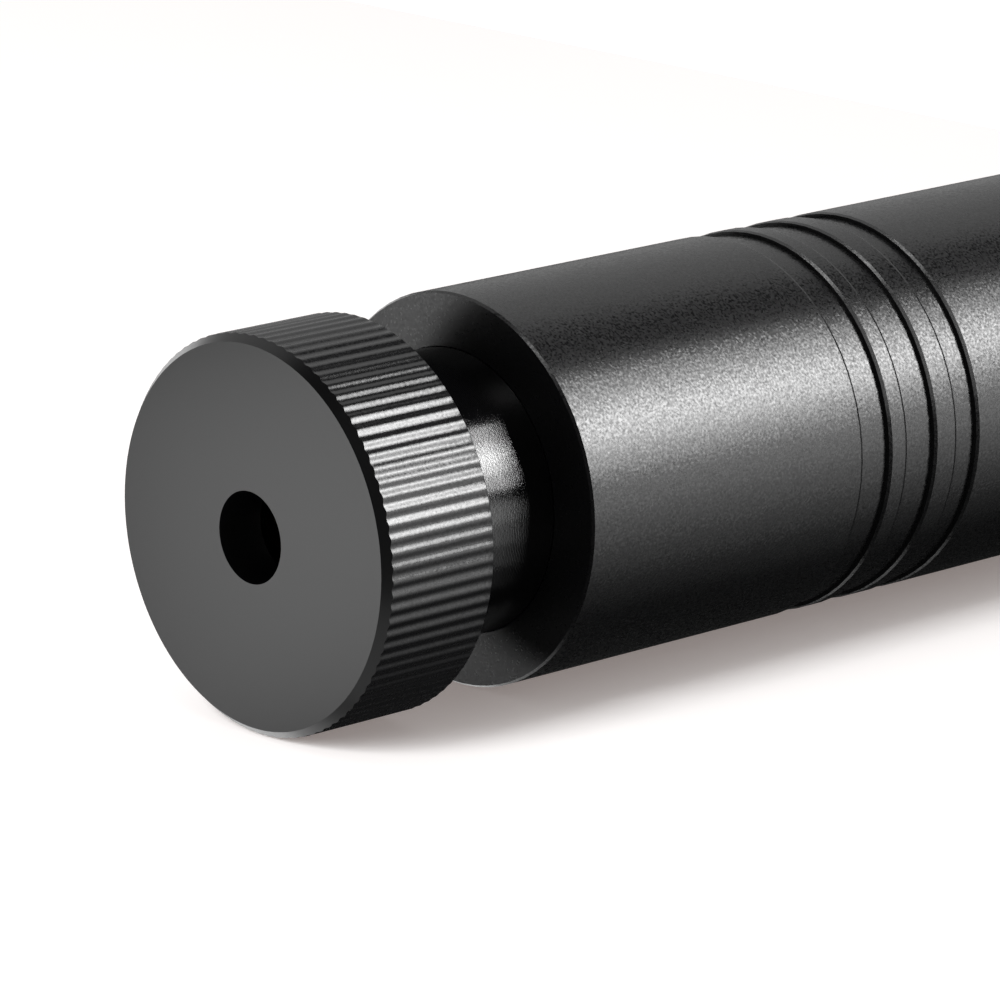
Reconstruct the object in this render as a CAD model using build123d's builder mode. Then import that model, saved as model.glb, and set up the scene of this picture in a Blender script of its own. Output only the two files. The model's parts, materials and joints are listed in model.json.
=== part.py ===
from build123d import *
import math
import os

# Hand-held laser pointer with an adjustable focus, in millimetres.
# It stands on its tail: the origin is the middle of the tail's end face, +Z runs forward
# along the beam, and the push button faces -Y.

# Fits
running_clearance = 0.05  # radial play of a piece that turns or slides in a bore
seat_clearance = 0.02  # radial play of a piece that is pressed, screwed or glued in place

# Focusing cap
cap_length = 8.0
cap_step = 0.05  # how much smaller than the tube the cap is, in radius
cap_bevel_radial = 0.45
cap_bevel_length = 0.5
cap_web = 3.0
aperture_radius = 2.65
focus_gap = 7.3  # from the cap's rear rim to the tube, as the focus is set

# Straight knurling: fine on the focusing cap, coarser on the tail cap
cap_ridges = 90
cap_valley_width = 0.6
cap_valley_depth = 0.17
tail_ridges = 60
tail_valley_width = 0.9
tail_valley_depth = 0.24
cutter_overhang = 0.2  # how far a cutter stands outside the surface that it cuts

# Lens cell, the turned tube behind the focusing cap
neck_radius = 8.3
neck_in_tube = 3.5  # how much of the smooth neck sits inside the tube
cell_thread_step = 0.35  # how far the thread lies inside the neck
cell_thread_length = 13.7
cell_bore_radius = 6.2
lens_window_play = 0.1  # radial air round the lens's dome
lens_lip = 1.5

# Collimating lens and its retaining ring
lens_radius = 5.0
lens_edge = 1.6
lens_dome_radius = 4.1
lens_dome_height = 0.9
retainer_thickness = 1.6
retainer_rim = 1.1
spanner_slot_width = 1.0
spanner_slot_depth = 0.6

# Friction ring on the neck
o_ring_thickness = 1.5
o_ring_groove_width = 1.6
o_ring_groove_depth = 1.25
o_ring_land = 0.7  # neck metal behind the ring
o_ring_corner = 0.4

# Body tube
tube_edge_radial = 0.12
tube_edge_axial = 0.15
tube_end_chamfer = 0.25
tube_end_wall = 1.0  # round the tail's socket
neck_bore_depth = 11.0
thread_bore_length = 32.7
driver_bore_radius = 7.4
driver_bore_length = 18.0
groove_starts = (21.55, 25.25, 29.45)  # behind the tube's front face
groove_widths = (2.25, 2.35, 1.75)
groove_depth = 0.3
groove_edge = 0.06

# Laser module
lock_ring_thickness = 1.7
lock_ring_hole_radius = 5.4
module_length = 17.5
diode_flange_radius = 2.8
diode_flange_thickness = 1.2
diode_can_radius = 1.8
diode_can_length = 2.5
diode_can_play = 0.15  # radial air round the can
diode_pins = 3
diode_pin_radius = 0.22
diode_pin_circle = 1.0
diode_pin_length = 3.4
diode_ring_thickness = 1.6
diode_ring_hole_radius = 1.5
diode_recess = 0.4  # from the housing's rear face to the ring
can_bore_length = 3.3
holder_radius = 3.45
holder_length = 6.0
holder_bore_radius = 0.5
crystal_width = 1.2
crystal_length = 2.5
expander_radius = 2.0
expander_edge = 1.4
expander_hollow_radius = 3.0
expander_rim = 0.5
holder_play = 0.5  # free length in front of the crystal holder
filter_radius = 4.95
filter_thickness = 1.0
filter_ring_thickness = 1.5
filter_ring_hole_radius = 3.6

# Driver board and what is soldered to it
board_thickness = 1.6
board_play = 0.2  # from the board's edge to the bore
board_front = -2.4  # Y of the face that carries the switch
switch_width = 6.0
switch_height = 3.5
plunger_radius = 1.75
plunger_reach = 1.1
plunger_sunk = 1.0
transistor_width = 6.5
transistor_length = 5.6
transistor_height = 2.3
transistor_chamfer = 0.25
capacitor_radius = 2.0
capacitor_length = 4.4
capacitor_chamfer = 0.4
trimmer_width = 3.2
trimmer_height = 1.8
trimmer_screw_radius = 1.0
trimmer_screw_height = 0.4
trimmer_slot_width = 0.35

# Push button
button_offset = 8.0  # from the insulating disc to the button's axis
button_radius = 3.7
button_flange_rim = 0.5
button_flange_thickness = 0.85
button_flange_play = 0.2  # radial air round the flange
button_travel = 0.6
button_recess = 0.35  # how far the crown stays below the tube's outline
button_crown = 0.5
button_post_radius = 1.5
bezel_rim = 1.8
bezel_depth = 1.8
bezel_step = 0.25  # how far its rim lies below the tube's outline
bezel_funnel = 0.7  # how much wider than the button its mouth is, in radius
bezel_slope = 30.0  # degrees from the button's axis

# Battery and its front contact
battery_radius = 9.2
battery_length = 64.5
battery_nub_radius = 3.0
battery_nub_height = 0.5
battery_edge = 0.6
battery_play = 0.4  # radial, in the tube
insulator_thickness = 1.2
contact_head_radius = 3.0
contact_head_thickness = 1.8
contact_shank_radius = 0.8

# Tail cap
tail_length = 14.0
tail_floor = 3.0
tail_edge_chamfer = 0.8
tail_knurl_start = 3.6
tail_knurl_length = 7.2
tail_relief_width = 0.7
tail_relief_depth = 0.35
spigot_land = 3.4
spigot_thread_length = 6.0
spigot_wall = 0.6
tail_thread_height = 0.4
tail_bore_play = 0.25  # radial, round the battery
spigot_socket_depth = 10.0
tail_ring_thickness = 1.3
tail_ring_groove_width = 1.4
tail_ring_groove_depth = 0.55
tail_ring_corner = 0.18

# Contact plate and spring in the tail
plate_thickness = 0.6
plate_ring_thickness = 1.8
plate_ring_rim = 1.4
spring_length = 8.4  # as the battery presses it
spring_wire_radius = 0.45
spring_wire_sides = 6  # flats that stand for the round wire
spring_inset = 1.2  # from the plate ring's hole to the middle of the wire
spring_top_radius = 4.0
spring_turns = 3.0

# Radii, outwards from the battery
battery_bore_radius = battery_radius + battery_play
tail_bore_radius = battery_radius + tail_bore_play
spigot_core_radius = tail_bore_radius + spigot_wall
spigot_land_radius = spigot_core_radius + tail_thread_height
tube_socket_radius = spigot_land_radius + running_clearance
tube_radius = tube_socket_radius + tube_end_wall
cap_radius = tube_radius - cap_step
neck_bore_radius = neck_radius + running_clearance
cell_thread_radius = neck_radius - cell_thread_step
thread_bore_radius = cell_thread_radius + running_clearance

# Places along the axis, forwards from the tail
plate_top = tail_floor + plate_thickness
battery_base = plate_top + spring_length
battery_top = battery_base + battery_length
contact_face = battery_top + battery_nub_height
disc_rear = contact_face + contact_head_thickness
driver_end = disc_rear + insulator_thickness
module_seat = driver_end + driver_bore_length
module_front = module_seat + module_length
neck_bore_end = module_seat + thread_bore_length
tube_front = neck_bore_end + neck_bore_depth
neck_rear = tube_front - neck_in_tube
cell_rear = neck_rear - cell_thread_length
cap_rear = tube_front + focus_gap
cap_front = cap_rear + cap_length
socket_floor = cap_front - cap_web
spigot_end = tail_length + spigot_land + spigot_thread_length
tube_socket_end = tail_length + spigot_socket_depth

# Places across the axis, at the board and the button
button_height = driver_end + button_offset
board_back = board_front + board_thickness
switch_face = board_front - switch_height
bezel_floor = tube_radius - bezel_depth
bezel_radius = button_radius + bezel_rim
button_flange_radius = button_radius + button_flange_rim


def cut_knurl(radius, low, high, ridges, width, depth):
    """Cuts the straight V-shaped valleys between the ridges of a knurled band."""
    with BuildSketch(Plane.XY.offset(low)) as valleys:
        with PolarLocations(radius, ridges):
            Polygon(
                (-depth, 0),
                (0, -width / 2),
                (cutter_overhang, -width / 2),
                (cutter_overhang, width / 2),
                (0, width / 2),
            )
    extrude(valleys.sketch, amount=high - low, mode=Mode.SUBTRACT)


def turn(*outline, mode=Mode.ADD):
    """Turns a closed outline of (radius, height) points about the pointer's axis."""
    with BuildSketch(Plane.XZ) as profile:
        with BuildLine():
            Polyline(*outline, close=True)
        make_face()
    revolve(profile.sketch, axis=Axis.Z, mode=mode)


def turn_ring(inner, outer, low, high, mode=Mode.ADD):
    """Turns a plain ring, or a disc when the inner radius is 0."""
    turn((inner, low), (outer, low), (outer, high), (inner, high), mode=mode)


def turn_seal(inner, outer, low, high, corner):
    """Turns a rubber ring with its corners taken off."""
    turn(
        (inner + corner, low),
        (outer - corner, low),
        (outer, low + corner),
        (outer, high - corner),
        (outer - corner, high),
        (inner + corner, high),
        (inner, high - corner),
        (inner, low + corner),
    )


def cut_spanner_slots(face_height, outer_radius, depth):
    """Cuts the two slots that a pin spanner turns a threaded ring by."""
    with BuildSketch(Plane.XY.offset(face_height)) as slot:
        Rectangle(2 * (outer_radius + cutter_overhang), spanner_slot_width)
    extrude(slot.sketch, amount=depth, mode=Mode.SUBTRACT)


# Focusing cap: a turned disc with a socket behind it, knurled over its whole rim. The bevel
# cuts the ridges' front ends, which gives the scalloped edge.
neck_socket_radius = neck_radius + seat_clearance
with BuildPart() as focus_cap:
    turn(
        (aperture_radius, cap_front),
        (cap_radius - cap_bevel_radial, cap_front),
        (cap_radius, cap_front - cap_bevel_length),
        (cap_radius, cap_rear),
        (neck_socket_radius, cap_rear),
        (neck_socket_radius, socket_floor),
        (aperture_radius, socket_floor),
    )
    cut_knurl(cap_radius, cap_rear, cap_front, cap_ridges, cap_valley_width, cap_valley_depth)

# Lens cell: smooth neck in front, thread behind, and the lens pocket inside
lens_front = socket_floor - lens_lip
lens_rear = lens_front - lens_edge
retainer_rear = lens_rear - retainer_thickness
lens_pocket_radius = lens_radius + seat_clearance
lens_window_radius = lens_dome_radius + lens_window_play
ring_groove_low = neck_rear + o_ring_land
ring_groove_floor = neck_radius - o_ring_groove_depth
with BuildPart() as lens_cell:
    turn(
        (lens_window_radius, socket_floor),
        (neck_radius, socket_floor),
        (neck_radius, neck_rear),
        (cell_thread_radius, neck_rear),
        (cell_thread_radius, cell_rear),
        (cell_bore_radius, cell_rear),
        (cell_bore_radius, retainer_rear),
        (lens_pocket_radius, retainer_rear),
        (lens_pocket_radius, lens_front),
        (lens_window_radius, lens_front),
    )
    turn_ring(
        ring_groove_floor,
        neck_radius + cutter_overhang,
        ring_groove_low,
        ring_groove_low + o_ring_groove_width,
        mode=Mode.SUBTRACT,
    )

# Friction ring, squeezed between its groove and the tube's bore
ring_low = ring_groove_low + (o_ring_groove_width - o_ring_thickness) / 2
with BuildPart() as focus_o_ring:
    turn_seal(
        ring_groove_floor + seat_clearance,
        neck_bore_radius - seat_clearance,
        ring_low,
        ring_low + o_ring_thickness,
        o_ring_corner,
    )

# Collimating lens: flat at the rear, domed in front inside a flat rim
lens_dome_sphere = (lens_dome_radius**2 + lens_dome_height**2) / (2 * lens_dome_height)
with BuildPart() as collimating_lens:
    with BuildSketch(Plane.XZ):
        with BuildLine():
            Line((0, lens_rear), (lens_radius, lens_rear))
            Line((lens_radius, lens_rear), (lens_radius, lens_front))
            Line((lens_radius, lens_front), (lens_dome_radius, lens_front))
            RadiusArc(
                (lens_dome_radius, lens_front),
                (0, lens_front + lens_dome_height),
                -lens_dome_sphere,
            )
            Line((0, lens_front + lens_dome_height), (0, lens_rear))
        make_face()
    revolve(axis=Axis.Z)

# Threaded ring that holds the lens in its pocket
with BuildPart() as lens_retainer:
    turn_ring(lens_radius - retainer_rim, lens_radius, retainer_rear, lens_rear)
    cut_spanner_slots(retainer_rear, lens_radius, spanner_slot_depth)

# Body tube: one turned piece with a stepped bore, three grooves and the button's pocket
bezel_hole_radius = bezel_radius + seat_clearance
button_plane = Plane(origin=(0, 0, button_height), x_dir=(1, 0, 0), z_dir=(0, -1, 0))
with BuildPart() as body_tube:
    turn(
        (neck_bore_radius, tube_front),
        (tube_radius - tube_edge_radial, tube_front),
        (tube_radius, tube_front - tube_edge_axial),
        (tube_radius, tail_length + tube_end_chamfer),
        (tube_radius - tube_end_chamfer, tail_length),
        (tube_socket_radius, tail_length),
        (tube_socket_radius, tube_socket_end),
        (battery_bore_radius, tube_socket_end),
        (battery_bore_radius, driver_end),
        (driver_bore_radius, driver_end),
        (driver_bore_radius, module_seat),
        (thread_bore_radius, module_seat),
        (thread_bore_radius, neck_bore_end),
        (neck_bore_radius, neck_bore_end),
    )
    for start, width in zip(groove_starts, groove_widths):
        groove_front = tube_front - start
        groove_rear = groove_front - width
        turn(
            (tube_radius - groove_depth, groove_front),
            (tube_radius, groove_front),
            (tube_radius + cutter_overhang, groove_front),
            (tube_radius + cutter_overhang, groove_rear - groove_edge - cutter_overhang),
            (tube_radius - groove_edge, groove_rear),
            (tube_radius - groove_depth, groove_rear),
            mode=Mode.SUBTRACT,
        )
    with BuildSketch(button_plane.offset(bezel_floor)):
        Circle(bezel_hole_radius)
    extrude(amount=tube_radius - bezel_floor + cutter_overhang, mode=Mode.SUBTRACT)
    with BuildSketch(button_plane):
        Circle(button_flange_radius + button_flange_play)
    extrude(amount=bezel_floor, mode=Mode.SUBTRACT)

# Lock ring that holds the laser module against its seat
with BuildPart() as module_lock_ring:
    turn_ring(
        lock_ring_hole_radius,
        cell_thread_radius,
        module_front,
        module_front + lock_ring_thickness,
    )
    cut_spanner_slots(
        module_front + lock_ring_thickness - spanner_slot_depth,
        cell_thread_radius,
        spanner_slot_depth,
    )

# Laser module: a brass housing bored from both ends
diode_bore_radius = diode_flange_radius + seat_clearance
diode_ring_rear = module_seat + diode_recess
flange_rear = diode_ring_rear + diode_ring_thickness
flange_front = flange_rear + diode_flange_thickness
holder_rear = flange_front + can_bore_length
holder_front = holder_rear + holder_length
filter_seat = holder_front + holder_play
filter_front = filter_seat + filter_thickness
with BuildPart() as module_housing:
    turn(
        (diode_bore_radius, module_seat),
        (cell_thread_radius, module_seat),
        (cell_thread_radius, module_front),
        (filter_radius + seat_clearance, module_front),
        (filter_radius + seat_clearance, filter_seat),
        (holder_radius + seat_clearance, filter_seat),
        (holder_radius + seat_clearance, holder_rear),
        (diode_can_radius + diode_can_play, holder_rear),
        (diode_can_radius + diode_can_play, flange_front),
        (diode_bore_radius, flange_front),
    )

# Pump diode: a sealed can with a flange and three pins
with BuildPart() as pump_diode:
    turn(
        (0, flange_rear),
        (diode_flange_radius, flange_rear),
        (diode_flange_radius, flange_front),
        (diode_can_radius, flange_front),
        (diode_can_radius, flange_front + diode_can_length),
        (0, flange_front + diode_can_length),
    )
    with BuildSketch(Plane.XY.offset(flange_rear)):
        with PolarLocations(diode_pin_circle, diode_pins, angular_range=180, endpoint=True):
            Circle(diode_pin_radius)
    extrude(amount=-diode_pin_length)

# Ring that is pressed in behind the diode's flange
with BuildPart() as diode_ring:
    turn_ring(diode_ring_hole_radius, diode_flange_radius, diode_ring_rear, flange_rear)

# Crystal holder: a brass plug with a square seat behind and the expander lens in front
crystal_front = holder_rear + crystal_length
expander_rear = holder_front - expander_edge
with BuildPart() as crystal_holder:
    turn_ring(holder_bore_radius, holder_radius, holder_rear, holder_front)
    turn_ring(
        0,
        expander_radius + seat_clearance,
        expander_rear,
        holder_front,
        mode=Mode.SUBTRACT,
    )
    with BuildSketch(Plane.XY.offset(holder_rear)):
        Rectangle(
            crystal_width + 2 * seat_clearance,
            crystal_width + 2 * seat_clearance,
        )
    extrude(amount=crystal_length, mode=Mode.SUBTRACT)

# Laser crystal: a square rod bonded into the holder
with BuildPart() as laser_crystal:
    with BuildSketch(Plane.XY.offset(holder_rear)):
        Rectangle(crystal_width, crystal_width)
    extrude(amount=crystal_length)

# Expander lens: flat behind and hollow in front
expander_window_radius = expander_radius - expander_rim
expander_sag = expander_hollow_radius - math.sqrt(
    expander_hollow_radius**2 - expander_window_radius**2
)
with BuildPart() as expander_lens:
    with BuildSketch(Plane.XZ):
        with BuildLine():
            Line((0, expander_rear), (expander_radius, expander_rear))
            Line((expander_radius, expander_rear), (expander_radius, holder_front))
            Line((expander_radius, holder_front), (expander_window_radius, holder_front))
            RadiusArc(
                (expander_window_radius, holder_front),
                (0, holder_front - expander_sag),
                expander_hollow_radius,
            )
            Line((0, holder_front - expander_sag), (0, expander_rear))
        make_face()
    revolve(axis=Axis.Z)

# Infrared filter and the ring that holds it
with BuildPart() as infrared_filter:
    turn_ring(0, filter_radius, filter_seat, filter_front)

with BuildPart() as filter_ring:
    turn_ring(
        filter_ring_hole_radius,
        filter_radius,
        filter_front,
        filter_front + filter_ring_thickness,
    )

# Driver board: it stands between the insulating disc and the module
board_plane = Plane(
    origin=(0, board_back, (driver_end + module_seat) / 2),
    x_dir=(1, 0, 0),
    z_dir=(0, 1, 0),
)
board_half_width = math.sqrt(driver_bore_radius**2 - board_front**2) - board_play
with BuildPart() as driver_board:
    with BuildSketch(board_plane):
        Rectangle(2 * board_half_width, driver_bore_length)
    extrude(amount=-board_thickness)

# Three parts on the back of the board, evenly spaced in a row that ends at the diode's pins
pin_reach = diode_pin_length - diode_ring_thickness - diode_recess
row_length = transistor_length + 2 * capacitor_radius + trimmer_width
row_gaps = 4  # before, between and after the three parts
component_spacing = (driver_bore_length - pin_reach - row_length) / row_gaps
transistor_z = driver_end + component_spacing + transistor_length / 2
capacitor_z = transistor_z + transistor_length / 2 + component_spacing + capacitor_radius
trimmer_z = capacitor_z + capacitor_radius + component_spacing + trimmer_width / 2


def board_spot(height):
    """The plane on the board's back at a height, with its normal pointing off the board."""
    return Plane(origin=(0, board_back, height), x_dir=(1, 0, 0), z_dir=(0, 1, 0))


with BuildPart() as drive_transistor:
    with BuildSketch(board_spot(transistor_z)):
        Rectangle(transistor_width, transistor_length)
    extrude(amount=transistor_height)
    top_edges = drive_transistor.faces().sort_by(Axis.Y)[-1].edges()
    chamfer(top_edges, length=transistor_chamfer)

with BuildPart() as board_capacitor:
    with BuildSketch(board_spot(capacitor_z)):
        Circle(capacitor_radius)
    extrude(amount=capacitor_length)
    chamfer(board_capacitor.faces().sort_by(Axis.Y)[-1].edges(), length=capacitor_chamfer)

with BuildPart() as current_trimmer:
    with BuildSketch(board_spot(trimmer_z)):
        Rectangle(trimmer_width, trimmer_width)
    extrude(amount=trimmer_height)
    with BuildSketch(board_spot(trimmer_z).offset(trimmer_height)):
        Circle(trimmer_screw_radius)
    extrude(amount=trimmer_screw_height)
    with BuildSketch(board_spot(trimmer_z).offset(trimmer_height)):
        Rectangle(2 * trimmer_screw_radius, trimmer_slot_width)
    extrude(amount=trimmer_screw_height, mode=Mode.SUBTRACT)

# Tactile switch, and the plunger that the button pushes
switch_plane = button_plane.offset(-switch_face)
with BuildPart() as tactile_switch:
    with BuildSketch(button_plane.offset(-board_front)):
        Rectangle(switch_width, switch_width)
    extrude(amount=switch_height)
    with BuildSketch(switch_plane):
        Circle(plunger_radius + running_clearance)
    extrude(amount=-(plunger_sunk + button_travel + running_clearance), mode=Mode.SUBTRACT)

with BuildPart() as switch_plunger:
    with BuildSketch(switch_plane.offset(-plunger_sunk)):
        Circle(plunger_radius)
    extrude(amount=plunger_sunk + plunger_reach)

# Button: a crowned head in the bezel, a flange that keeps it in, and a post on the plunger
plunger_tip = -switch_face + plunger_reach
crown_top = tube_radius - button_recess
head_edge = crown_top - button_crown
crown_sphere = (button_radius**2 + button_crown**2) / (2 * button_crown)
with BuildPart() as button_cap:
    with BuildSketch(Plane(origin=(0, 0, button_height), x_dir=(1, 0, 0), z_dir=(0, 0, 1))):
        with BuildLine():
            Line((0, -plunger_tip), (button_post_radius, -plunger_tip))
            Line(
                (button_post_radius, -plunger_tip),
                (button_post_radius, -(bezel_floor - button_flange_thickness)),
            )
            Line(
                (button_post_radius, -(bezel_floor - button_flange_thickness)),
                (button_flange_radius, -(bezel_floor - button_flange_thickness)),
            )
            Line(
                (button_flange_radius, -(bezel_floor - button_flange_thickness)),
                (button_flange_radius, -bezel_floor),
            )
            Line((button_flange_radius, -bezel_floor), (button_radius, -bezel_floor))
            Line((button_radius, -bezel_floor), (button_radius, -head_edge))
            RadiusArc((button_radius, -head_edge), (0, -crown_top), crown_sphere)
            Line((0, -crown_top), (0, -plunger_tip))
        make_face()
    revolve(axis=Axis(origin=(0, 0, button_height), direction=(0, 1, 0)))

# Bezel: a ring pressed into the tube, curved to follow it and funnelled towards the button
with BuildPart() as button_bezel:
    with BuildSketch(Plane.XY.offset(button_height - bezel_radius)):
        Circle(tube_radius - bezel_step)
    extrude(amount=2 * bezel_radius)
    with BuildSketch(button_plane.offset(bezel_floor)):
        Circle(bezel_radius)
    extrude(amount=tube_radius - bezel_floor, mode=Mode.INTERSECT)
    with BuildSketch(button_plane.offset(bezel_floor)):
        Circle(button_radius + running_clearance)
    extrude(amount=tube_radius - bezel_floor, mode=Mode.SUBTRACT)
    with BuildSketch(button_plane.offset(tube_radius)):
        Circle(button_radius + running_clearance + bezel_funnel)
    extrude(amount=-(tube_radius - head_edge), taper=bezel_slope, mode=Mode.SUBTRACT)

# Insulating disc against the end of the battery bore, with the front contact riveted in it
with BuildPart() as insulating_disc:
    turn_ring(
        contact_shank_radius + seat_clearance,
        battery_bore_radius - seat_clearance,
        disc_rear,
        driver_end,
    )

with BuildPart() as front_contact:
    turn(
        (0, contact_face),
        (contact_head_radius, contact_face),
        (contact_head_radius, disc_rear),
        (contact_shank_radius, disc_rear),
        (contact_shank_radius, driver_end),
        (0, driver_end),
    )

# Battery: a sealed cylindrical cell, pressed against the front contact by the tail spring
with BuildPart() as battery_cell:
    turn(
        (0, battery_base),
        (battery_radius - battery_edge, battery_base),
        (battery_radius, battery_base + battery_edge),
        (battery_radius, battery_top - battery_edge),
        (battery_radius - battery_edge, battery_top),
        (battery_nub_radius, battery_top),
        (battery_nub_radius, contact_face),
        (0, contact_face),
    )

# Tail cap: a knurled cup with a spigot that screws into the tube
knurl_low = tail_knurl_start
knurl_high = tail_knurl_start + tail_knurl_length
relief_radius = tube_radius - tail_relief_depth
ring_mid = tail_length + spigot_land / 2
tail_groove_floor = spigot_land_radius - tail_ring_groove_depth
with BuildPart() as tail_cap:
    turn(
        (0, 0),
        (tube_radius - tail_edge_chamfer, 0),
        (tube_radius, tail_edge_chamfer),
        (tube_radius, knurl_low - tail_relief_width),
        (relief_radius, knurl_low - tail_relief_width),
        (relief_radius, knurl_low),
        (tube_radius, knurl_low),
        (tube_radius, knurl_high),
        (relief_radius, knurl_high),
        (relief_radius, knurl_high + tail_relief_width),
        (tube_radius, knurl_high + tail_relief_width),
        (tube_radius, tail_length - tube_end_chamfer),
        (tube_radius - tube_end_chamfer, tail_length),
        (spigot_land_radius, tail_length),
        (spigot_land_radius, tail_length + spigot_land),
        (spigot_core_radius, tail_length + spigot_land),
        (spigot_core_radius, spigot_end),
        (tail_bore_radius, spigot_end),
        (tail_bore_radius, tail_floor),
        (0, tail_floor),
    )
    turn_ring(
        tail_groove_floor,
        spigot_land_radius + cutter_overhang,
        ring_mid - tail_ring_groove_width / 2,
        ring_mid + tail_ring_groove_width / 2,
        mode=Mode.SUBTRACT,
    )
    cut_knurl(tube_radius, knurl_low, knurl_high, tail_ridges, tail_valley_width, tail_valley_depth)

# Seal ring in the spigot's groove
with BuildPart() as tail_o_ring:
    turn_seal(
        tail_groove_floor + seat_clearance,
        tube_socket_radius - seat_clearance,
        ring_mid - tail_ring_thickness / 2,
        ring_mid + tail_ring_thickness / 2,
        tail_ring_corner,
    )

# Contact plate on the cap's floor, with the ring that holds it
plate_radius = tail_bore_radius - running_clearance
plate_ring_hole_radius = plate_radius - plate_ring_rim
with BuildPart() as tail_contact_plate:
    turn_ring(0, plate_radius, tail_floor, plate_top)

with BuildPart() as plate_ring:
    turn_ring(
        plate_ring_hole_radius,
        plate_radius,
        plate_top,
        plate_top + plate_ring_thickness,
    )
    cut_spanner_slots(
        plate_top + plate_ring_thickness - spanner_slot_depth,
        plate_radius,
        spanner_slot_depth,
    )

# Tail spring: a tapered coil between the plate and the battery
spring_base_radius = plate_ring_hole_radius - spring_inset
spring_rise = spring_length - 2 * spring_wire_radius
spring_start = plate_top + spring_wire_radius
spring_taper = -math.degrees(math.atan((spring_base_radius - spring_top_radius) / spring_rise))
with BuildPart() as tail_spring:
    with BuildLine() as spring_line:
        Helix(
            pitch=spring_rise / spring_turns,
            height=spring_rise,
            radius=spring_base_radius,
            center=(0, 0, spring_start),
            cone_angle=spring_taper,
        )
    with BuildSketch(Plane(origin=spring_line.line @ 0, z_dir=spring_line.line % 0)):
        RegularPolygon(spring_wire_radius, spring_wire_sides)
    sweep(is_frenet=True)

pieces = {
    "focus_cap": focus_cap,
    "lens_cell": lens_cell,
    "focus_o_ring": focus_o_ring,
    "collimating_lens": collimating_lens,
    "lens_retainer": lens_retainer,
    "body_tube": body_tube,
    "module_lock_ring": module_lock_ring,
    "module_housing": module_housing,
    "pump_diode": pump_diode,
    "diode_ring": diode_ring,
    "crystal_holder": crystal_holder,
    "laser_crystal": laser_crystal,
    "expander_lens": expander_lens,
    "infrared_filter": infrared_filter,
    "filter_ring": filter_ring,
    "driver_board": driver_board,
    "drive_transistor": drive_transistor,
    "board_capacitor": board_capacitor,
    "current_trimmer": current_trimmer,
    "tactile_switch": tactile_switch,
    "switch_plunger": switch_plunger,
    "button_cap": button_cap,
    "button_bezel": button_bezel,
    "insulating_disc": insulating_disc,
    "front_contact": front_contact,
    "battery_cell": battery_cell,
    "tail_cap": tail_cap,
    "tail_o_ring": tail_o_ring,
    "tail_contact_plate": tail_contact_plate,
    "plate_ring": plate_ring,
    "tail_spring": tail_spring,
}
os.makedirs("parts", exist_ok=True)
for name, piece in pieces.items():
    piece.part.label = name
    export_step(piece.part, f"parts/{name}.step")
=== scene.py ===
# %% [markdown]
# # A hand-held laser pointer, dressed
# The solids come from the CAD model, standing on the tail with the beam upwards. This lesson
# gives each of them the finish that the real piece has, adds the forms that are too fine for
# the solids, and then lights and photographs the pointer as if it lay on a white table.

# %% Load the solids
import json
import math

import bmesh
import bpy
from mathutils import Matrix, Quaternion, Vector

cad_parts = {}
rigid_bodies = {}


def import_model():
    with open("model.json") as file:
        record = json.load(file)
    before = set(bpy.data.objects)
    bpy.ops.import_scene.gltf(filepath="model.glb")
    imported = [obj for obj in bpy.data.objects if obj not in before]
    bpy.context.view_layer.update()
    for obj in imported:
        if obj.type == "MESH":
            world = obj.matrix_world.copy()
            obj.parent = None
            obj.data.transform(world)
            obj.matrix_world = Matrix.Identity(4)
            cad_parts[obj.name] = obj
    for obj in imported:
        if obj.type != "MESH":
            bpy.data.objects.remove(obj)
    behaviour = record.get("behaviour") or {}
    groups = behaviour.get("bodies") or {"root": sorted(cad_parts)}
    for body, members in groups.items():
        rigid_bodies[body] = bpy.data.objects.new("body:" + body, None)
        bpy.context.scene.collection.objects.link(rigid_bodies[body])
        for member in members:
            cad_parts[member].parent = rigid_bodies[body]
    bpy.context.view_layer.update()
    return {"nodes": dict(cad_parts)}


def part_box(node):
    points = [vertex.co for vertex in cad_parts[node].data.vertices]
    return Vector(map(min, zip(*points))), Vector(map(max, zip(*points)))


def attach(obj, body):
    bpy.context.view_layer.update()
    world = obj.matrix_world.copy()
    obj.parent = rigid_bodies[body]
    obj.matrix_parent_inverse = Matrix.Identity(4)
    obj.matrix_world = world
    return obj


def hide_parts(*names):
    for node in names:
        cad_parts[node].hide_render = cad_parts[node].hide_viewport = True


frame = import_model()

nodes = frame["nodes"]
mm = 0.001

# %% [markdown]
# The solids carry their own sizes, so the sizes that the lesson needs are read back from them
# instead of being typed again. The focusing cap gives the front, the tube and the lens cell give
# the two radii, and the gap between the cap and the tube is the neck that shows.

# %% Sizes read from the solids
cap_low, cap_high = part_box("focus_cap")
tube_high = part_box("body_tube")[1]
tail_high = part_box("tail_cap")[1]
cap_radius = cap_high.x
tube_radius = tube_high.x
neck_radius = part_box("lens_cell")[1].x
print("tube radius in mm:", round(tube_radius / mm, 2))
print("neck that shows in mm:", round((cap_low.z - tube_high.z) / mm, 2))

# %% [markdown]
# Colours are picked as sRGB hex values, as on a screen, but a shader works with linear light.
# One function turns the first into the second, so that every colour below is written the
# same way.


# %% Colour from a hex value
def linear(hex_code):
    """Turns an sRGB hex value such as 1A1A1C into linear red, green, blue and alpha."""
    screen = [int(hex_code[start : start + 2], 16) / 255 for start in (0, 2, 4)]
    light = [s / 12.92 if s <= 0.04045 else ((s + 0.055) / 1.055) ** 2.4 for s in screen]
    return (*light, 1.0)


print("mid grey in linear light:", round(linear("808080")[0], 3))

# %% [markdown]
# Every finish is a small tree of shader nodes. One function adds a node with its settings and
# its links, so that a finish reads as a short list of what feeds what.


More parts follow.
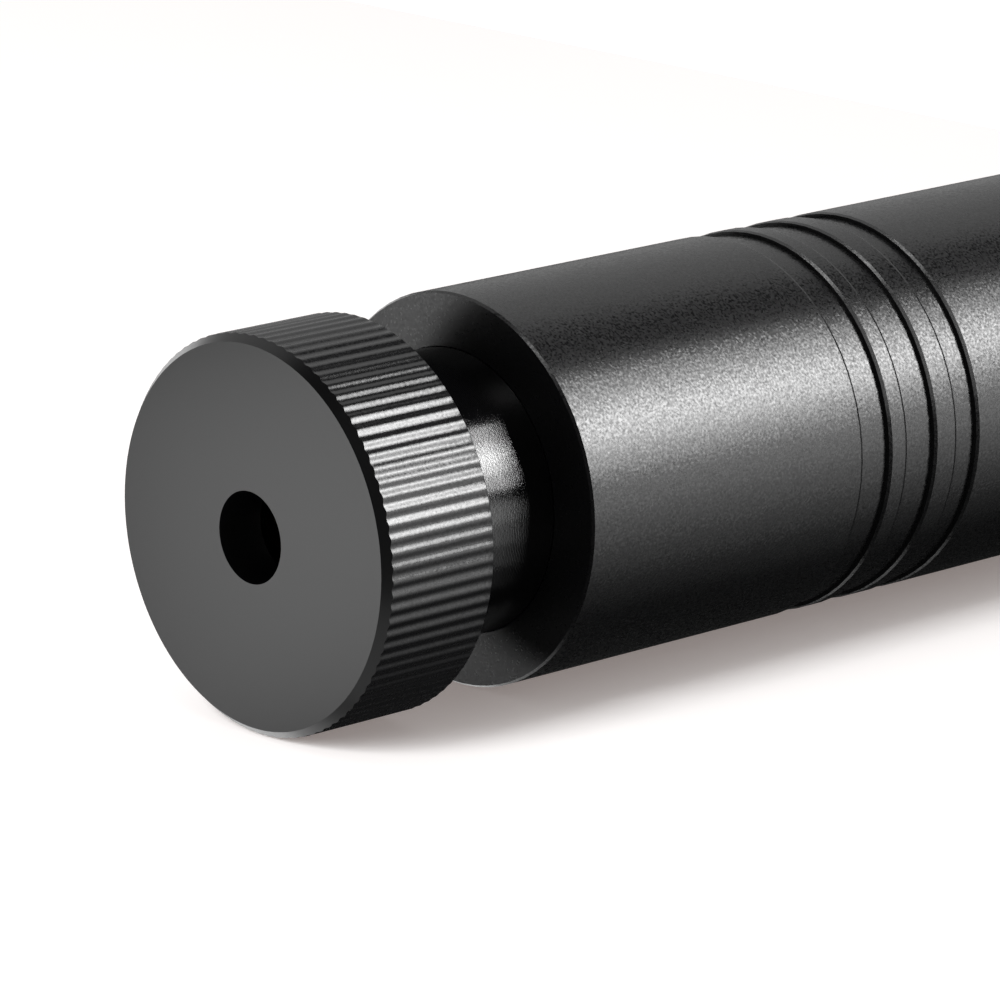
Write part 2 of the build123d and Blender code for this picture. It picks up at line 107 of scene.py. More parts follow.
# %% Add a shader node
def add(tree, kind, settings=None, links=None):
    """Adds a node, sets its properties and sockets by name, and links outputs into it."""
    node = tree.nodes.new(kind)
    for name, value in (settings or {}).items():
        if hasattr(node, name):
            setattr(node, name, value)
        else:
            node.inputs[name].default_value = value
    for name, output in (links or {}).items():
        tree.links.new(output, node.inputs[name])
    return node


# %% [markdown]
# Each finish on the pointer is one Principled shader. What is the same all over the surface is
# set on the shader's own sockets, and only grain, rings and the like are linked into it. A plain
# finish has nothing linked, so it can be made and put on the solids in one go.


# %% Start a finish and put it on
def finish(name, settings):
    """Starts a material with one Principled shader, and returns it with its tree and shader."""
    material = bpy.data.materials.new(name)
    material.use_nodes = True
    tree = material.node_tree
    shader = tree.nodes["Principled BSDF"]
    for socket, value in settings.items():
        shader.inputs[socket].default_value = value
    return material, tree, shader


def dress(material, *names):
    """Gives solids their finish."""
    for name in names:
        mesh = nodes[name].data
        mesh.materials.clear()
        mesh.materials.append(material)
        print(name, "in", material.name)


def dress_plainly(name, settings, *names):
    """Makes a finish without any grain and gives it to solids."""
    dress(finish(name, settings)[0], *names)


# %% [markdown]
# A blasted or etched surface is covered in fine dents. A bump map could draw them, but it is
# worked out from pixel to pixel and fails on dents finer than a pixel. So the surface is leant
# directly: a noise as fine as the dents gives each point a lean, which is added to the direction
# that the surface faces. The two ends were faced on a lathe, so they can be given a smaller share.


# %% Lean of the dents
def dents(tree, width, tilt, share_on_ends):
    """Makes a lean this way and that in dents of a width, and returns its output."""
    place = add(tree, "ShaderNodeTexCoord")
    facing = add(tree, "ShaderNodeSeparateXYZ", None, {0: place.outputs["Normal"]})
    steep = add(tree, "ShaderNodeMath", {"operation": "ABSOLUTE"}, {0: facing.outputs["Z"]})
    amount = add(
        tree,
        "ShaderNodeMapRange",
        {"To Min": tilt, "To Max": tilt * share_on_ends},
        {"Value": steep.outputs[0]},
    )
    noise = add(
        tree,
        "ShaderNodeTexNoise",
        {"Scale": 1 / width, "Detail": 0.0},
        {"Vector": place.outputs["Object"]},
    )
    centred = add(
        tree, "ShaderNodeVectorMath", {"operation": "SUBTRACT"}, {0: noise.outputs["Color"]}
    )
    centred.inputs[1].default_value = (0.5, 0.5, 0.5)
    lean = add(
        tree,
        "ShaderNodeVectorMath",
        {"operation": "SCALE"},
        {0: centred.outputs[0], "Scale": amount.outputs["Result"]},
    )
    return lean.outputs[0]


# %% [markdown]
# Where dents overlap, the surface is rougher as well. The roughness follows one part of the same
# lean, so it changes over the same distance and needs no noise of its own.


# %% Grain from the dents
def grain(tree, shader, width, tilt, share_on_ends=1.0, unevenness=0.0):
    """Leans the surface by its dents and, with some unevenness, varies its roughness."""
    lean = dents(tree, width, tilt, share_on_ends)
    surface = add(tree, "ShaderNodeNewGeometry")
    leaning = add(
        tree,
        "ShaderNodeVectorMath",
        {"operation": "ADD"},
        {0: surface.outputs["Normal"], 1: lean},
    )
    unit = add(tree, "ShaderNodeVectorMath", {"operation": "NORMALIZE"}, {0: leaning.outputs[0]})
    tree.links.new(unit.outputs[0], shader.inputs["Normal"])
    if unevenness:
        parts = add(tree, "ShaderNodeSeparateXYZ", None, {0: lean})
        rough = shader.inputs["Roughness"].default_value
        ends = {"From Min": -tilt / 2, "From Max": tilt / 2}
        uneven = add(
            tree,
            "ShaderNodeMapRange",
            {**ends, "To Min": rough - unevenness, "To Max": rough + unevenness},
            {"Value": parts.outputs["X"]},
        )
        tree.links.new(uneven.outputs["Result"], shader.inputs["Roughness"])


# %% [markdown]
# Black anodised aluminium: the metal is given a layer of aluminium oxide some 15 micrometres
# thick, which is dyed black and sealed. What shines is the clear surface of the oxide, so the
# shader isn't a metal: it is nearly black inside, under a surface with the oxide's high IOR.
# The tube was blasted with fine glass beads before it was anodised, which breaks every highlight
# into a fine sparkle. Real dents are under a tenth of a millimetre wide, too fine for a picture
# of the whole pointer, so they are drawn half as wide again.

# %% Bead-blasted black anodised aluminium
oxide_ior = 1.7
bead_dent = 0.15 * mm
blasted, tree, shader = finish(
    "bead-blasted black anodised aluminium",
    {"Base Color": linear("0B0B0C"), "Roughness": 0.3, "IOR": oxide_ior},
)
grain(tree, shader, bead_dent, tilt=0.18, share_on_ends=0.3, unevenness=0.17)
dress(blasted, "body_tube", "tail_cap")
print("dents per millimetre:", round(mm / bead_dent, 1))

# %% [markdown]
# The focusing cap was faced on a lathe and etched before it was anodised, which leaves an
# even satin with a much finer grain than the tube's.

# %% Satin black anodised aluminium
etch_grain = 0.07 * mm
satin, tree, shader = finish(
    "satin black anodised aluminium",
    {"Base Color": linear("0D0D0E"), "Roughness": 0.3, "IOR": oxide_ior},
)
grain(tree, shader, etch_grain, tilt=0.03)
dress(satin, "focus_cap")

# %% [markdown]
# The cap's rim was rolled under pressure, so the flanks of the knurling are smoother and mirror
# the lamps as crisp bright and dark bars. This finish goes on later, on the faces of the rim.

# %% Rolled black anodised aluminium
rolled, tree, shader = finish(
    "rolled black anodised aluminium",
    {"Base Color": linear("131314"), "Roughness": 0.25, "IOR": oxide_ior},
)
grain(tree, shader, bead_dent, tilt=0.1, unevenness=0.06)
print("finish for the rim:", rolled.name)

# %% [markdown]
# The neck was only turned and then anodised, so it is glossier, with the fine rings that the
# tool leaves at each turn. The rings are a wave along the axis, at the feed of the tool, and they
# smear every highlight along the axis but not round it, which the anisotropy of the shader does.

# %% Turned black anodised aluminium
tool_feed = 0.13 * mm
ring_depth = 0.005 * mm
turned, tree, shader = finish(
    "turned black anodised aluminium",
    {
        "Base Color": linear("060607"),
        "Roughness": 0.17,
        "IOR": oxide_ior,
        "Anisotropic": 0.93,
        "Anisotropic Rotation": 0.25,
    },
)
around = add(tree, "ShaderNodeTangent", {"direction_type": "RADIAL", "axis": "Z"})
tree.links.new(around.outputs["Tangent"], shader.inputs["Tangent"])
place = add(tree, "ShaderNodeTexCoord")
rings = add(
    tree,
    "ShaderNodeTexWave",
    {
        "bands_direction": "Z",
        "Scale": math.pi / (10 * tool_feed),  # at a scale of 1, a wave is pi / 10 long
        "Distortion": 3.5,
        "Detail": 1.0,
        "Detail Scale": 3.0,
    },
    {"Vector": place.outputs["Object"]},
)
bump = add(
    tree,
    "ShaderNodeBump",
    {"Strength": 1.0, "Distance": ring_depth},
    {"Height": rings.outputs["Fac"]},
)
tree.links.new(bump.outputs["Normal"], shader.inputs["Normal"])
dress(turned, "lens_cell", "module_lock_ring")

# %% [markdown]
# The laser module and the contacts are turned brass, bright but never polished. Brass is a
# metal, so its colour is that of its reflection, and it keeps the shader's own IOR.

# %% Turned brass
brass_grain = 0.1 * mm
brass, tree, shader = finish(
    "turned brass",
    {"Base Color": linear("C9A45C"), "Metallic": 1.0, "Roughness": 0.28},
)
grain(tree, shader, brass_grain, tilt=0.02)
dress(brass, "module_housing", "diode_ring", "crystal_holder", "filter_ring", "lens_retainer")
dress(brass, "front_contact", "tail_contact_plate", "plate_ring")

# %% [markdown]
# What the beam passes is clear and polished, so light goes through it and its roughness is next
# to nothing. The lenses are coated glass, the filter is a blue-green glass that keeps the
# infrared in, and the crystal has a faint violet tint and bends light more than glass does.

# %% Lenses, filter and crystal
dress_plainly(
    "coated optical glass",
    {"Base Color": linear("F2F8F6"), "Roughness": 0.02, "IOR": 1.52, "Transmission Weight": 1.0},
    "collimating_lens",
    "expander_lens",
)
dress_plainly(
    "blue-green filter glass",
    {"Base Color": linear("9FD8CC"), "Roughness": 0.02, "IOR": 1.53, "Transmission Weight": 1.0},
    "infrared_filter",
)
dress_plainly(
    "laser crystal",
    {"Base Color": linear("D9C6E8"), "Roughness": 0.04, "IOR": 1.8, "Transmission Weight": 1.0},
    "laser_crystal",
)

# %% [markdown]
# The other parts inside are bought-in ones, each in the plain finish it is sold in: a gold-plated
# diode can, a green board with black and white parts, black rubber rings and a nickel-plated
# spring. None of them is seen in the photograph, so they get a plain shader without any grain.

# %% Small parts of the module and the board
dress_plainly(
    "gold-plated steel",
    {"Base Color": linear("E2BE72"), "Metallic": 1.0, "Roughness": 0.2},
    "pump_diode",
)
dress_plainly(
    "black nitrile rubber",
    {"Base Color": linear("1B1B1B"), "Roughness": 0.6, "IOR": 1.52},
    "focus_o_ring",
    "tail_o_ring",
)
dress_plainly(
    "green solder mask on glass-fibre laminate",
    {"Base Color": linear("1E5B36"), "Roughness": 0.35, "IOR": 1.55},
    "driver_board",
)
dress_plainly(
    "black moulded epoxy",
    {"Base Color": linear("202020"), "Roughness": 0.55, "IOR": 1.55},
    "drive_transistor",
    "tactile_switch",
)
dress_plainly(
    "drawn aluminium can",
    {"Base Color": linear("C9CACD"), "Metallic": 1.0, "Roughness": 0.3},
    "board_capacitor",
)
dress_plainly(
    "white moulded nylon",
    {"Base Color": linear("DAD9D2"), "Roughness": 0.45, "IOR": 1.53},
    "current_trimmer",
    "switch_plunger",
)
dress_plainly(
    "tan glass-fibre laminate",
    {"Base Color": linear("B7A870"), "Roughness": 0.5, "IOR": 1.55},
    "insulating_disc",
)
dress_plainly(
    "nickel-plated spring wire",
    {"Base Color": linear("C8C8C6"), "Metallic": 1.0, "Roughness": 0.18},
    "tail_spring",
)

# %% [markdown]
# The button behind the photograph's edge is moulded in black ABS, whose mould was spark-eroded
# to a fine grain, and sits in a turned steel bezel. The battery is one sealed cell in its
# shrink-wrap sleeve, which is left without any print.

# %% Button, bezel and battery
mould_grain = 0.25 * mm
abs_plastic, tree, shader = finish(
    "black moulded ABS",
    {"Base Color": linear("1C1C1D"), "Roughness": 0.42, "IOR": 1.54},
)
grain(tree, shader, mould_grain, tilt=0.03)
dress(abs_plastic, "button_cap")
dress_plainly(
    "turned stainless steel",
    {"Base Color": linear("B9BABD"), "Metallic": 1.0, "Roughness": 0.3},
    "button_bezel",
)
dress_plainly(
    "blue shrink-wrap sleeve",
    {"Base Color": linear("2B5F9E"), "Roughness": 0.28, "IOR": 1.54},
    "battery_cell",
)
print("nodes without a finish:", [name for name, node in nodes.items() if not node.data.materials])

# %% [markdown]
# The new pieces are made as by hand: a plain shape is added at its size and place, and then
# points and faces are picked by where they are, and inset, drawn out or moved. The first helpers
# open a shape and pick in it. What to pick is a rule that says yes or no to a place.


# %% Open a shape and pick in it
same_place = 0.01 * mm


def open_shape(name):
    """Names the new primitive, lays its place into its mesh and opens it for editing."""
    shape = bpy.context.object
    shape.name = name
    bpy.ops.object.transform_apply(location=True, rotation=True, scale=True)
    bpy.ops.object.mode_set(mode="EDIT")
    return shape


def pick(shape, rule, parts="verts"):
    """Selects the points or faces whose place follows a rule, and returns how many."""
    bpy.ops.mesh.select_mode(type="FACE" if parts == "faces" else "VERT")
    bpy.ops.mesh.select_all(action="DESELECT")
    mesh = bmesh.from_edit_mesh(shape.data)
    picked = 0
    for part in getattr(mesh, parts):
        place = part.calc_center_median() if parts == "faces" else part.co
        if rule(place):
            part.select_set(True)
            picked += 1
    mesh.select_flush_mode()
    bmesh.update_edit_mesh(shape.data)
    return picked


def near(value, target):
    """True where two lengths are as good as the same."""
    return abs(value - target) < same_place


def level_with(height):
    """The rule for what lies at one height."""
    return lambda place: near(place.z, height)


def on_ring(height, radius):
    """The rule for what lies at one height and at one distance from the axis."""
    return lambda place: near(place.z, height) and near(place.xy.length, radius)


def outside(radius):
    """The rule for what lies further out than a radius."""
    return lambda place: place.xy.length > radius


bpy.ops.object.select_all(action="DESELECT")
print("lengths closer than this in mm are the same:", round(same_place / mm, 3))

# %% [markdown]
# What is picked is moved along the pointer's axis or drawn in and out about it, because every
# new piece was turned or rolled round that axis.


# %% Move what is picked
def lift(height):
    """Moves what is picked along the pointer's axis."""
    bpy.ops.transform.translate(value=(0, 0, height))


def widen(share):
    """Scales what is picked about the pointer's axis."""
    bpy.ops.transform.resize(value=(share, share, 1), center_override=(0, 0, 0))


# %% [markdown]
# A finished piece is closed and shaded smooth but for its edges. It rides on one of the
# pointer's moving bodies, and where it is a finer copy of a solid it takes that solid's place.
# All that belongs to the pointer is kept in one collection, because some lamps light only it.

# %% Hand a piece over
merge_distance = 0.001 * mm
pointer_only = bpy.data.collections.new("pointer only")
for piece in nodes.values():
    pointer_only.objects.link(piece)


def hand_over(shape, material, body, *replaced, smooth_angle=40):
    """Closes a shape, shades it, dresses it and hands it to the frame."""
    bpy.ops.mesh.select_all(action="SELECT")
    bpy.ops.mesh.remove_doubles(threshold=merge_distance)
    bpy.ops.mesh.normals_make_consistent(inside=False)
    bpy.ops.object.mode_set(mode="OBJECT")
    bpy.ops.object.shade_smooth_by_angle(angle=math.radians(smooth_angle))
    shape.data.materials.append(material)
    pointer_only.objects.link(shape)
    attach(shape, body)
    if replaced:
        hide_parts(*replaced)
    shape.select_set(False)
    print(shape.name, "faces:", len(shape.data.polygons))


# %% [markdown]
# The focusing cap is a turned drum. Its front is faced flat and bevelled, the aperture is
# drilled through, and the back is bored out for the neck. The drum has twelve points for each
# ridge of the knurling that comes next.

# %% Drum of the focusing cap
ridges = 90
ridge_points = 12
bevel_width = 0.45 * mm
aperture_radius = 2.65 * mm
web = 3.0 * mm
rear_bevel = 0.2 * mm
socket_radius = neck_radius + 0.02 * mm

bpy.ops.mesh.primitive_cylinder_add(
    vertices=ridges * ridge_points,
    radius=cap_radius,
    depth=cap_high.z - cap_low.z,
    location=(0, 0, (cap_low.z + cap_high.z) / 2),
)
cap = open_shape("knurled_cap")
pick(cap, level_with(cap_high.z), "faces")
bpy.ops.mesh.inset(thickness=bevel_width)
bpy.ops.mesh.inset(thickness=cap_radius - bevel_width - aperture_radius)
bpy.ops.mesh.extrude_region_move(TRANSFORM_OT_translate={"value": (0, 0, -web)})
pick(cap, level_with(cap_low.z), "faces")
bpy.ops.mesh.inset(thickness=rear_bevel)
bpy.ops.mesh.inset(thickness=cap_radius - rear_bevel - socket_radius)
bpy.ops.mesh.extrude_region_move(
    TRANSFORM_OT_translate={"value": (0, 0, cap_high.z - web - cap_low.z)}
)
print("points round the cap:", ridges * ridge_points)

# %% [markdown]
# The aperture and the bore now end in two flat faces at the same height. Both are taken out, and
# the two rims are bridged, which makes the ring round the aperture's inner end.

# %% Aperture joined to the bore
bore_end = cap_high.z - web
web_faces = pick(
    cap, lambda place: near(place.z, bore_end) and place.xy.length < aperture_radius, "faces"
)
bpy.ops.mesh.delete(type="ONLY_FACE")
pick(cap, level_with(bore_end))
bpy.ops.mesh.select_mode(type="EDGE")
bpy.ops.mesh.bridge_edge_loops()
print("faces taken out of the web:", web_faces)

# %% [markdown]
# The knurling was rolled: a hard toothed wheel pressed ninety shallow waves into the rim,
# straight along the cap, and they grow shallower towards both ends. Two cuts round the rim mark
# where they reach their full depth.

# %% Cuts where the knurling is deepest
bevel_height = 0.5 * mm
run_out = 0.35 * mm
front_full = cap_high.z - bevel_height - run_out
rear_full = cap_low.z + rear_bevel + run_out
on_rim = outside(cap_radius - same_place)
for height in (front_full, rear_full):
    pick(cap, on_rim, "faces")
    bpy.ops.mesh.bisect(plane_co=(0, 0, height), plane_no=(0, 0, 1))
print("full depth over mm:", round((front_full - rear_full) / mm, 2))

# %% [markdown]
# Each point of the rim is then pulled in by its place on the wave. The front bevel was turned
# after the rolling, so it cuts the waves to a scalloped edge: the less a point is pulled in, the
# further the bevel comes down on it. A small bevel behind leaves a smooth rim.

# %% Knurling of the cap
wave_depth = 0.085 * mm
step_angle = 2 * math.pi / (ridges * ridge_points)
depth_shares = ((cap_high.z, 0.65), (front_full, 1.0), (rear_full, 1.0), (cap_low.z, 0.5))


def on_the_wave(step, height):
    """The rule for the points of the rim at one step of every ridge and at one height."""

    def rule(place):
        turn = round(math.atan2(place.y, place.x) / step_angle) % ridge_points
        return turn == step and on_rim(place) and near(place.z, height)

    return rule


for step in range(ridge_points):
    wave = 0.5 + 0.5 * math.cos(2 * math.pi * step / ridge_points)
    for height, share in depth_shares:
        pull = wave_depth * wave * share
        pick(cap, on_the_wave(step, height))
        if height == cap_high.z:
            lift(-bevel_height * (1 - pull / bevel_width))
        if height == cap_low.z:
            lift(rear_bevel - pull)
        widen(1 - pull / cap_radius)
slope = math.degrees(math.atan(wave_depth / 2 * ridges / cap_radius))
print("steepest slope of the wave in degrees:", round(slope, 1))
hand_over(cap, satin, "focus_head", "focus_cap")

# %% [markdown]
# Only the rim was rolled, so its faces get the smoother finish. They lie further out than the
# valleys of the wave and face sideways, and the two bevels are left out by the way they face.

# %% Rolled finish on the rim
sideways = 0.3  # how much of a rim face's direction may lie along the axis
cap.data.materials.append(rolled)
rim_faces = 0
for face in cap.data.polygons:
    if face.center.xy.length > cap_radius - wave_depth and abs(face.normal.z) < sideways:
        face.material_index = 1
        rim_faces += 1
print("faces of the rim:", rim_faces)

# %% [markdown]
# Turned edges that have been blasted are never sharp. The lips of the tube's three grooves are
# worn to narrow slopes, so each groove shows a fine line in front and a faint glow behind its dark
# rear wall. The tube is a copy of the solid, whose loose triangles are merged and joined to quads
# first, so that the cuts leave no stray points that would shade as streaks.

# %% Copy of the tube
worn_tube = bpy.data.objects.new("worn_tube", nodes["body_tube"].data.copy())
worn_tube.data.materials.clear()
bpy.context.scene.collection.objects.link(worn_tube)
bpy.context.view_layer.objects.active = worn_tube
worn_tube.select_set(True)
bpy.ops.mesh.customdata_custom_splitnormals_clear()
bpy.ops.object.mode_set(mode="EDIT")
bpy.ops.mesh.select_all(action="SELECT")
bpy.ops.mesh.remove_doubles(threshold=merge_distance)
bpy.ops.mesh.tris_convert_to_quads()
print("points of the copy:", len(bmesh.from_edit_mesh(worn_tube.data).verts))

# %% [markdown]
# One cut in front of each groove marks where its front lip begins to slope, and the edge behind
# the cut is drawn in. The rear lip has a bevel already, which is drawn out to a longer slope and
# deepened. Each groove's place is measured from the tube's front, and its width from its front
# wall to its rear one.

# %% Worn lips of the grooves
groove_starts = (21.55, 25.25, 29.45)
groove_widths = (2.25, 2.35, 1.75)
lip_slope = 0.16 * mm
lip_wear = 0.045 * mm
rear_bevel_depth = 0.06 * mm
rear_slope = 0.22 * mm
rear_wear = 0.015 * mm
skin = 0.1 * mm  # how deep under the tube's surface a cut reaches
bevel_foot = tube_radius - rear_bevel_depth

for start, width in zip(groove_starts, groove_widths):
    front = tube_high.z - start * mm
    rear = front - width * mm
    pick(worn_tube, outside(tube_radius - skin), "faces")
    bpy.ops.mesh.bisect(plane_co=(0, 0, front + lip_slope), plane_no=(0, 0, 1))
    pick(worn_tube, on_ring(front, tube_radius))
    widen(1 - lip_wear / tube_radius)
    pick(worn_tube, on_ring(rear - rear_bevel_depth, tube_radius))
    lift(rear_bevel_depth - rear_slope)
    pick(worn_tube, on_ring(rear, bevel_foot))
    widen(1 - rear_wear / bevel_foot)
hand_over(worn_tube, blasted, "barrel", "body_tube", smooth_angle=10)

# %% [markdown]
# The thread on the tail's spigot is too fine for the solids. It is one diamond-shaped section,
# swept round and up by a screw of one millimetre to the turn, half sunk in the spigot. It
# shows when the tail is taken off.

# %% Thread of the tail cap
tail_pitch = 1.0 * mm
thread_turns = 5
thread_steps = 72
thread_crest = 10.45 * mm
thread_height = 0.4 * mm
bpy.ops.mesh.primitive_circle_add(
    vertices=4,
    radius=thread_height,
    location=(thread_crest - thread_height, 0, tail_high.z - (thread_turns + 0.5) * tail_pitch),
    rotation=(math.radians(90), 0, 0),
)
thread = open_shape("tail_thread")
bpy.ops.object.mode_set(mode="OBJECT")
sweep = thread.modifiers.new("sweep", "SCREW")
sweep.axis = "Z"
sweep.screw_offset = tail_pitch
sweep.iterations = thread_turns
sweep.steps = thread_steps
sweep.render_steps = thread_steps
bpy.ops.object.modifier_apply(modifier="sweep")
bpy.ops.object.mode_set(mode="EDIT")
bpy.ops.mesh.select_mode(type="EDGE")
bpy.ops.mesh.select_all(action="DESELECT")
bpy.ops.mesh.select_non_manifold()
bpy.ops.mesh.edge_face_add()
hand_over(thread, blasted, "tail")

# %% [markdown]
# The studio: the pointer lies on a white table, which touches the tube along one line. In the
# frame of the solids the pointer stands up, so the table is a card behind it that faces -Y. A
# card is matt white and glows a little for the camera, so that it ends up as white as the
# photograph's background. It is clear from behind, so that the other side of the pointer can be
# photographed too.


# %% White cards
def white_card(name, glow):
    """A matt white surface whose own glow for the camera lifts it to a white background and paints
    a warm shade into its shadows.
    """
    material = bpy.data.materials.new(name)
    material.use_nodes = True
    tree = material.node_tree
    tree.nodes.clear()
    path = add(tree, "ShaderNodeLightPath")
    face = add(tree, "ShaderNodeNewGeometry")
    strength = add(
        tree, "ShaderNodeMath", {"operation": "MULTIPLY"}, {0: path.outputs["Is Camera Ray"]}
    )
    strength.inputs[1].default_value = glow
    matt = add(tree, "ShaderNodeBsdfDiffuse", {"Color": linear("F4F4F4")})
    # The glow is tinted warm. Where the lamps reach, the card clips to white, and in the table's
    # shadow the tint stays as a painted warm shade.
    light = add(
        tree, "ShaderNodeEmission", {"Color": linear("FFEEE8")}, {"Strength": strength.outputs[0]}
    )
    both = add(tree, "ShaderNodeAddShader", None, {0: matt.outputs[0], 1: light.outputs[0]})
    clear = add(tree, "ShaderNodeBsdfTransparent")
    sides = add(
        tree,
        "ShaderNodeMixShader",
        None,
        {0: face.outputs["Backfacing"], 1: both.outputs[0], 2: clear.outputs[0]},
    )
    add(tree, "ShaderNodeOutputMaterial", None, {"Surface": sides.outputs[0]})
    return material


def lay_card(name, location, rotation, glow):
    """Adds a stage plane that the tube doesn't mirror and the lamps shine through."""
    bpy.ops.mesh.primitive_plane_add(size=3.0, location=location, rotation=rotation)
    card = bpy.context.object
    card.name = name
    card.data.materials.append(white_card(f"matt white {name}", glow))
    card.visible_glossy = False
    card.visible_diffuse = False
    card.visible_shadow = False
    print(name, "glow", glow)
    return card


# %% [markdown]
# A level floor lies under the tail for the views from other sides. It lies a hair below the
# tail, so that the two planes don't fight where they meet. Few of the lamps reach it, so it
# glows more than the table.

# %% Table and floor
floor_gap = 0.05 * mm
upright = math.radians(90)
bpy.ops.object.select_all(action="DESELECT")
table = lay_card("table", (0, tube_radius, 0), (upright, 0, 0), glow=0.22)
floor = lay_card("floor", (0, 0, -floor_gap), (0, 0, 0), glow=0.7)

# %% [markdown]
# Dark cards, which a photographer calls flags, stand all round. What is black and shiny shows
# what stands round it, and without the flags the white room would wash it out. They are one dark
# sphere that only the pointer's gloss sees.

# %% Dark flags
felt_glow = 0.005
bpy.ops.mesh.primitive_uv_sphere_add(segments=32, ring_count=16, radius=1.2)
flags = bpy.context.object
flags.name = "flags"
dark = bpy.data.materials.new("black felt flags")
dark.use_nodes = True
tree = dark.node_tree
tree.nodes.clear()
glow = add(tree, "ShaderNodeEmission", {"Color": linear("FFFFFF"), "Strength": felt_glow})
add(tree, "ShaderNodeOutputMaterial", None, {"Surface": glow.outputs[0]})
flags.data.materials.append(dark)
flags.visible_camera = False
flags.visible_diffuse = False
flags.visible_transmission = False
flags.visible_shadow = False
print("flags stand off in m:", round(flags.dimensions.x / 2, 2))

# %% [markdown]
# The room round the flags is white where it is seen, mirrored or looked at through glass. As a
# light it is less than half as strong, so that the lamps make the shadows.

# %% White room
room_light = 0.45
world = bpy.data.worlds.new("white room")
bpy.context.scene.world = world
world.use_nodes = True
tree = world.node_tree
tree.nodes.clear()
path = add(tree, "ShaderNodeLightPath")
seen = path.outputs["Is Camera Ray"]
for ray in ("Is Transmission Ray", "Is Glossy Ray"):
    either = add(
        tree, "ShaderNodeMath", {"operation": "MAXIMUM"}, {0: seen, 1: path.outputs[ray]}
    )
    seen = either.outputs[0]
strength = add(
    tree, "ShaderNodeMapRange", {"To Min": room_light, "To Max": 1.0}, {"Value": seen}
)
sky = add(
    tree,
    "ShaderNodeBackground",
    {"Color": linear("FFFFFF")},
    {"Strength": strength.outputs[0]},
)
add(tree, "ShaderNodeOutputWorld", None, {"Surface": sky.outputs[0]})
print("light of the room:", room_light)

# %% [markdown]
# The lamps are soft boxes, placed by where the tube mirrors them. A point of the tube whose
# normal is turned by some angle from the camera's side shows what stands at twice that angle,
# so the width of each highlight on the tube is half the width of its soft box as seen from the
# tube. A soft box is therefore given by the range of turns and of rises that it fills, and its
# power is worked out from its size, so that it looks equally bright at any distance.

# %% Add a soft box
camera_azimuth = -160.43
middle = Vector((0, 0, 130 * mm))


def softbox(name, turns, rises, reach, radiance, lights):
    """Adds a soft box that fills a range of turns from the camera's side and of rises."""
    azimuth = math.radians(camera_azimuth + sum(turns) / 2)
    rise = math.radians(sum(rises) / 2)
    level = math.cos(rise)
    lamp = bpy.data.lights.new(name, "AREA")
    lamp.shape = "RECTANGLE"
    lamp.size = 2 * reach * level * math.tan(math.radians(turns[1] - turns[0]) / 2)
    lamp.size_y = 2 * reach * math.tan(math.radians(rises[1] - rises[0]) / 2)
    lamp.energy = radiance * math.pi * lamp.size * lamp.size_y
    box = bpy.data.objects.new(name, lamp)
    bpy.context.scene.collection.objects.link(box)
    towards = Vector((math.cos(azimuth) * level, math.sin(azimuth) * level, math.sin(rise)))
    box.location = middle + towards * reach
    box.rotation_mode = "QUATERNION"
    box.rotation_quaternion = towards.to_track_quat("Z", "Y")
    box.visible_camera = False
    box.light_linking.receiver_collection = lights
    print(name, "radiance", round(radiance, 2), "watts", round(lamp.energy, 2))


# %% [markdown]
# A studio keeps a lamp off one part with small cards. Here each lamp is told which pieces it
# lights, so the pieces are gathered by what they share.


# %% What the lamps light
def collection_of(name, objects):
    """Gathers the objects that a lamp lights."""
    gathered = bpy.data.collections.new(name)
    for each in objects:
        gathered.objects.link(each)
    return gathered


neck = nodes["lens_cell"]
pieces = list(pointer_only.objects)
stage_only = collection_of("stage only", (table, floor))
tube_only = collection_of("tube only", (worn_tube,))
cap_only = collection_of("cap only", (cap,))
neck_only = collection_of("neck only", (neck,))
not_the_neck = collection_of("not the neck", (each for each in pieces if each != neck))
the_rest = collection_of("the rest", (each for each in pieces if each not in (neck, cap)))

# %% [markdown]
# The key light makes the bright band along the tube, and the fill makes the slow fall-off under
# it. Each is a nest of soft boxes, one in front of another, which gives it a bright middle and
# soft edges. The neck and the cap have nests of their own, turned a little further and brighter,
# because their highlights stand a little elsewhere in the photograph.

# %% Key and fill
nest_reach = 0.40
nest_spacing = 0.005
key_rises = (-50, -30)
fill_rises = (-58, -28)
# the first and last turn of each box in degrees, and its radiance
key_steps = ((-11, 44, 5.3), (2, 30, 4.7), (10, 21.5, 3.6))
fill_steps = ((-88, -14, 0.08), (-70, -15, 0.28), (-52, -15, 0.5), (-34, -15, 0.8))
# what is lit, how far the boxes are turned, the shares of key and fill, and how much later
# the key begins
lit_pieces = (
    (the_rest, 0, 1.0, 1.0, 0),
    (neck_only, 0, 1.7, 1.35, 3.5),
    (cap_only, 2, 1.15, 1.0, 0),
)


def nest(name, steps, rises, turn, share, lights, gap=0):
    """Adds soft boxes one in front of another."""
    for number, (low, high, radiance) in enumerate(steps):
        softbox(
            f"{name} {number}, {lights.name}",
            (low + turn + gap, high + turn),
            rises,
            nest_reach - nest_spacing * number,
            radiance * share,
            lights,
        )


for lights, turn, key_share, fill_share, gap in lit_pieces:
    nest("key", key_steps, key_rises, turn, key_share, lights, gap)
    nest("fill", fill_steps, fill_rises, turn, fill_share, lights)

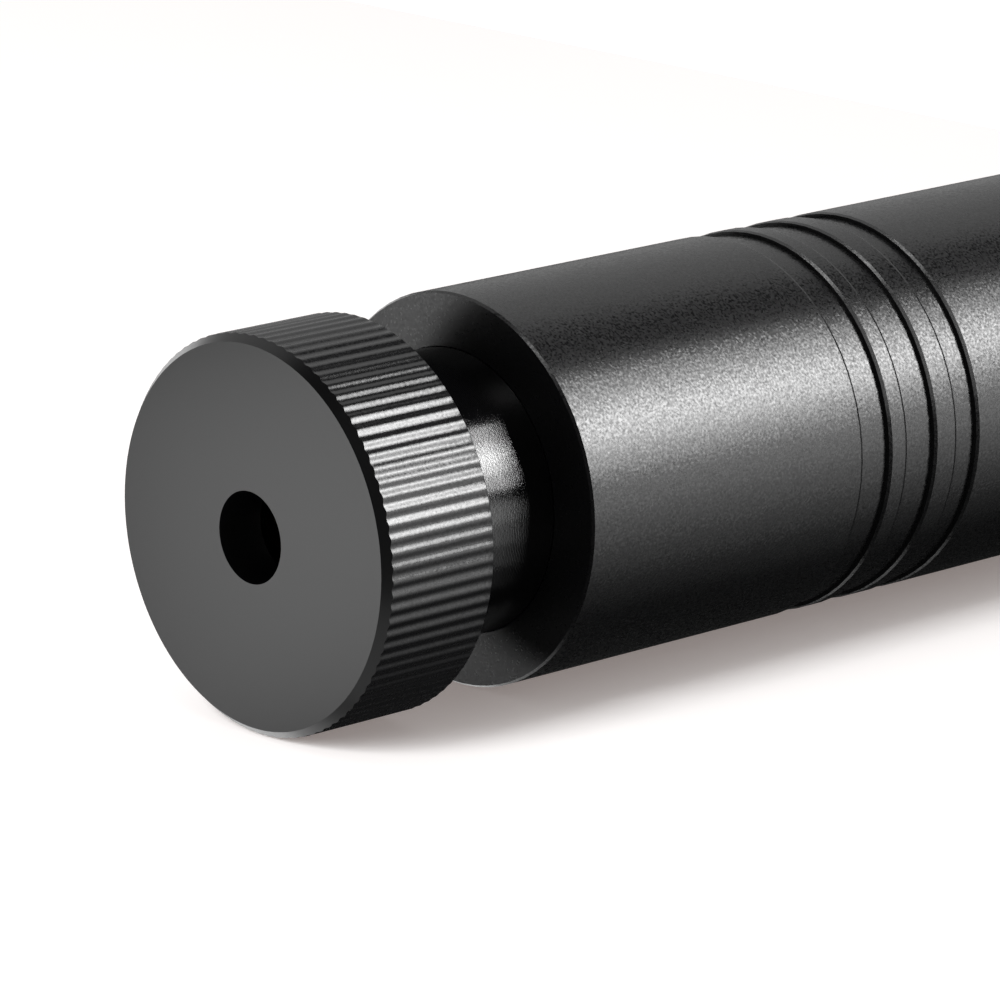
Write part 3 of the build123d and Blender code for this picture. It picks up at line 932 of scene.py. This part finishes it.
# %% [markdown]
# The other soft boxes each make one thing in the photograph: the back box the dim glow along the
# tube's upper flank, the two panels the grey of the cap's face and of the tube's front face, the
# edge light and the lip light the thin lines on the tube's front edge and on the lips of its
# grooves, the table glow the light that the table throws back on the cap, and the table lamp the
# white of the table and the shadow on it. The upper, far, low and top boxes hardly show in the
# photograph. They let the other sides be seen.

# %% The other soft boxes
other_boxes = (
    # name, turns and rises in degrees, reach in metres, radiance, what it lights
    ("back box", (89, 156), (-70, 35), 0.50, 0.47, not_the_neck),
    ("cap panel", (164, 196), (44, 70), 0.10, 1.8, cap_only),
    ("front panel", (152, 190), (42, 62), 0.13, 2.0, the_rest),
    ("edge light", (55, 69), (5, 32), 0.60, 3.5, tube_only),
    ("lip light", (59, 81), (-16, 5), 0.60, 5.0, tube_only),
    ("table glow", (-110, -55), (10, 45), 0.30, 0.4, cap_only),
    ("upper box", (-11, 44), (-26, 8), 0.60, 0.8, not_the_neck),
    ("far box", (145, 215), (-26, 8), 0.60, 1.6, not_the_neck),
    ("low box", (-150, -100), (-26, 8), 0.60, 0.9, pointer_only),
    ("top box", (-70, 70), (62, 89), 0.30, 0.6, pointer_only),
    ("table lamp", (48, 80), (40, 80), 1.00, 20.0, stage_only),
)
for row in other_boxes:
    softbox(*row)

# %% [markdown]
# The camera stands in front of the cap and above it, turned so that the pointer lies across
# the picture. Its place was found by fitting the cap, the neck and the grooves to the photograph.

# %% Camera
lens = bpy.data.cameras.new("camera")
lens.lens = 216.64
lens.sensor_width = 36
lens.clip_start = 0.01
camera = bpy.data.objects.new("camera", lens)
bpy.context.scene.collection.objects.link(camera)
camera.location = Vector((-246.56, -87.67, 364.06)) * mm
sight = Vector((0.71265, 0.25691, -0.65278))
roll = math.radians(-103.24)
camera.rotation_mode = "QUATERNION"
camera.rotation_quaternion = sight.to_track_quat("-Z", "Y") @ Quaternion((0, 0, 1), roll)
bpy.context.scene.camera = camera
bpy.context.scene.view_settings.view_transform = "Standard"
print("camera to cap in mm:", round((camera.location - Vector((0, 0, cap_high.z))).length / mm))
